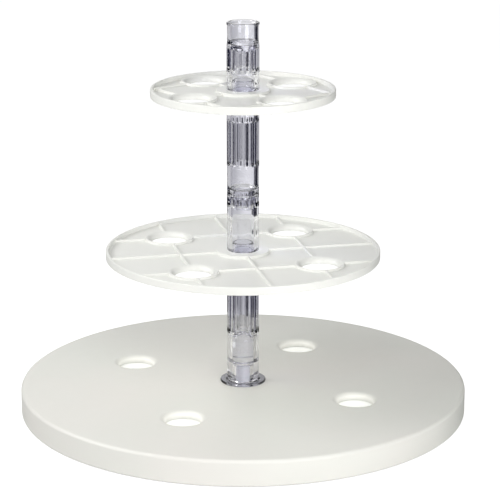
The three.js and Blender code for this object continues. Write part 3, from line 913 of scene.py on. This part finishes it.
def top_cap():
    """Plain cap with a small rim, a deep recess and a plug."""
    bottom, top = above_base("top_cap")
    seat = CAP_SEAT
    rim = reach("top_cap")
    clear_piece("top_cap", [
        (NEAR_AXIS, bottom), (SPIGOT_RADIUS, bottom, 1.5), (SPIGOT_RADIUS, seat, 0.4),
        (CAP_RADIUS, seat, 0.6), (CAP_RADIUS, top - 3, 0.4), (rim, top - 2.8, 0.6),
        (rim, top, 0.9), (BORE_RADIUS, top, 0.9),
        (BORE_RADIUS, top - CAP_RECESS, 2), (NEAR_AXIS, top - CAP_RECESS),
    ])


def plate_washers():
    """The thin clear washers that the two plates turn on."""
    for node in ("middle_plate_washer", "top_plate_washer"):
        bottom, top = low(node), high(node)
        outer = reach(node)
        inner = SPIGOT_RADIUS + FIT_GAP
        washer = turned(f"{node}_clear", rounded([
            (inner, bottom, 0.2), (outer, bottom, 0.3), (outer, top, 0.3), (inner, top, 0.2),
        ]), COLUMN_STEPS)
        install(finish_mesh(washer), node, CLEAR_WASHER)


def column():
    column_socket()
    lower_column()
    middle_coupler()
    upper_column()
    top_section()
    top_cap()
    plate_washers()


# ---- stage ----

WHITE = (1, 1, 1)
# Strength of the fill light on opaque surfaces.
FILL = 0.33
# The floor: half its side, its colour, and the light it adds for the camera.
FLOOR_HALF = 6000
FLOOR_GREY = (0.75, 0.75, 0.75)
FLOOR_LIFT = 0.75
# Lamps: name, place in metres and power in watts. All are discs aimed at one point.
LAMPS = (
    ("left", (-1.23, 0, 0.96), 11.2),
    ("front", (0, -1.23, 0.96), 6.7),
    ("low_front", (0.73, -1.27, 0.41), 8.7),
)
LAMP_SIZE = 0.9
LAMPS_AIM_AT = (0, 0, 0.1)
# Camera: distance and height over the base's top in base radii, downward tilt in degrees, lens in
# millimetres, and sideways shift as a share of the picture's width.
CAMERA_DISTANCE = 9.186
CAMERA_HEIGHT = 3.214
CAMERA_TILT = 15.82
CAMERA_LENS = 154.46
CAMERA_SHIFT = 0.014
# What the clear plastic sees, from far left (-1) through straight ahead (0) to far right (1).
CARDS = (
    (-1.0, (0.02, 0.02, 0.05)),
    (-0.9, (0.02, 0.02, 0.05)),
    (-0.8, (0.6, 0.6, 0.62)),
    (-0.12, (0.62, 0.62, 0.64)),
    (0.04, (0.95, 0.95, 0.96)),
    (0.24, (0.95, 0.95, 0.96)),
    (0.34, (0.003, 0.003, 0.015)),
    (0.88, (0.003, 0.003, 0.015)),
    (0.94, (0.3, 0.3, 0.4)),
)
# The unlit side of the room, behind the camera.
CAMERA_SIDE = (0.01, 0.01, 0.03)
# What shows as a reflection, in the same directions.
REFLECTED = (
    (-1.0, (0.05, 0.05, 0.06)),
    (-0.34, (0.05, 0.05, 0.06)),
    (-0.16, (0.95, 0.95, 0.95)),
    (0.16, (0.95, 0.95, 0.95)),
    (0.34, (0.05, 0.05, 0.06)),
    (1.0, (0.05, 0.05, 0.06)),
)


def turned_to_view(nodes, links, direction):
    """A direction's share to the right of the view, and its share level away from the camera."""
    right = nodes.new("ShaderNodeVectorTransform")
    right.vector_type = "VECTOR"
    right.convert_from = "CAMERA"
    right.convert_to = "WORLD"
    right.inputs["Vector"].default_value = (1, 0, 0)
    rightward = right.outputs["Vector"]
    away = calculate(nodes, links, "VectorMath", "CROSS_PRODUCT", (0, 0, 1), rightward)
    return (
        calculate(nodes, links, "VectorMath", "DOT_PRODUCT", direction, rightward),
        calculate(nodes, links, "VectorMath", "DOT_PRODUCT", direction, away),
    )


def side_cards(nodes, links, direction, cards):
    """White and dark cards that keep their places round the view, by how far aside a direction points."""
    aside, away = turned_to_view(nodes, links, direction)
    ramp = nodes.new("ShaderNodeValToRGB")
    stops = ramp.color_ramp.elements
    while len(stops) < len(cards):
        stops.new(0.5)
    for stop, (card_aside, colour) in zip(stops, cards):
        stop.position = (card_aside + 1) / 2
        stop.color = (*colour, 1)
    links.new(map_range(nodes, links, aside, (-1, 1)), ramp.inputs["Fac"])
    beyond = map_range(nodes, links, away, (-0.1, 0.1))
    return mix_colours(nodes, links, beyond, CAMERA_SIDE, ramp.outputs["Color"])


def glow(nodes, links, kind, colour, strength):
    """A light-giving shader with a fixed colour or a linked one."""
    node = nodes.new(kind)
    if isinstance(colour, tuple):
        node.inputs["Color"].default_value = (*colour, 1)
    else:
        links.new(colour, node.inputs["Color"])
    node.inputs["Strength"].default_value = strength
    return node.outputs[0]


def surroundings(nodes, links, kind, direction, seen_by_diffuse):
    """Cards for rays leaving the clear plastic, softer ones for reflections, a shader for the rest."""
    through = glow(nodes, links, kind, side_cards(nodes, links, direction, CARDS), 1)
    mirrored = glow(nodes, links, kind, side_cards(nodes, links, direction, REFLECTED), 1)
    not_diffuse = by_ray(nodes, links, "Is Transmission Ray", through, mirrored)
    return by_ray(nodes, links, "Is Diffuse Ray", seen_by_diffuse, not_diffuse)


def floor():
    """A pale matt sheet, near white to the camera, with a faint shadow. From below it is see-through."""
    half = FLOOR_HALF
    corners = [(-half, -half, 0), (half, -half, 0), (half, half, 0), (-half, half, 0)]
    sheet = new_piece("floor", corners, [(0, 1, 2, 3)])
    material = bpy.data.materials.new("pale_floor")
    material.use_nodes = True
    nodes = material.node_tree.nodes
    links = material.node_tree.links
    nodes.clear()
    output = nodes.new("ShaderNodeOutputMaterial")
    paper = nodes.new("ShaderNodeBsdfDiffuse")
    paper.inputs["Color"].default_value = (*FLOOR_GREY, 1)
    lift = glow(nodes, links, "ShaderNodeEmission", WHITE, FLOOR_LIFT)
    lifted = nodes.new("ShaderNodeAddShader")
    links.new(paper.outputs["BSDF"], lifted.inputs[0])
    links.new(lift, lifted.inputs[1])
    geometry = nodes.new("ShaderNodeNewGeometry")
    onward = calculate(nodes, links, "VectorMath", "MULTIPLY", geometry.outputs["Incoming"], (-1, -1, -1))
    rest = surroundings(nodes, links, "ShaderNodeEmission", onward, paper.outputs["BSDF"])
    from_above = by_ray(nodes, links, "Is Camera Ray", lifted.outputs["Shader"], rest)
    from_below = nodes.new("ShaderNodeBsdfTransparent")
    sided = nodes.new("ShaderNodeMixShader")
    links.new(geometry.outputs["Backfacing"], sided.inputs[0])
    links.new(from_above, sided.inputs[1])
    links.new(from_below.outputs["BSDF"], sided.inputs[2])
    links.new(sided.outputs["Shader"], output.inputs["Surface"])
    # Lamps are the only lights aimed at, since what this sheet gives off depends on the kind of ray.
    material.cycles.emission_sampling = "NONE"
    sheet.data.materials.append(material)


def studio_world():
    """White behind the object, a soft fill on opaque surfaces, and side cards in the clear plastic."""
    world = bpy.data.worlds.new("studio")
    world.use_nodes = True
    world.cycles.sampling_method = "NONE"
    bpy.context.scene.world = world
    nodes = world.node_tree.nodes
    links = world.node_tree.links
    nodes.clear()
    output = nodes.new("ShaderNodeOutputWorld")
    direction = nodes.new("ShaderNodeTexCoord")
    backdrop = glow(nodes, links, "ShaderNodeBackground", WHITE, 1)
    fill = glow(nodes, links, "ShaderNodeBackground", WHITE, FILL)
    rest = surroundings(nodes, links, "ShaderNodeBackground", direction.outputs["Generated"], fill)
    links.new(by_ray(nodes, links, "Is Camera Ray", backdrop, rest), output.inputs["Surface"])


def softbox(name, position, power):
    data = bpy.data.lights.new(name, "AREA")
    data.shape = "DISK"
    data.size = LAMP_SIZE
    data.energy = power
    lamp = bpy.data.objects.new(name, data)
    lamp.location = position
    aim = Vector(LAMPS_AIM_AT) - Vector(position)
    lamp.rotation_euler = aim.to_track_quat("-Z", "Y").to_euler()
    bpy.context.scene.collection.objects.link(lamp)


def lights():
    for name, position, power in LAMPS:
        softbox(name, position, power)


def camera():
    """Looks along +Y and down, with the column a little left of the picture's middle."""
    base_radius = BASE_RADIUS * MM
    distance = CAMERA_DISTANCE * base_radius
    height = BASE_TOP * MM + CAMERA_HEIGHT * base_radius
    tilt = math.radians(CAMERA_TILT)
    data = bpy.data.cameras.new("camera")
    data.sensor_width = 36
    data.lens = CAMERA_LENS
    data.shift_x = CAMERA_SHIFT
    data.clip_end = 100
    eye = bpy.data.objects.new("camera", data)
    eye.location = (0, -distance, height)
    eye.rotation_euler = (math.pi / 2 - tilt, 0, 0)
    bpy.context.scene.collection.objects.link(eye)
    bpy.context.scene.camera = eye


def light_paths():
    """Enough bounces for rays to leave the nested clear tubes."""
    cycles = bpy.context.scene.cycles
    cycles.max_bounces = 24
    cycles.transmission_bounces = 20
    cycles.transparent_max_bounces = 16
    cycles.glossy_bounces = 6
    cycles.diffuse_bounces = 4
    cycles.sample_clamp_indirect = 6
    bpy.context.scene.view_settings.view_transform = "Standard"


base_shell()
base_cover()
feet()
cover_screws()
bolt_washer()
base_bolt()
plates()
column()
floor()
studio_world()
lights()
camera()
light_paths()
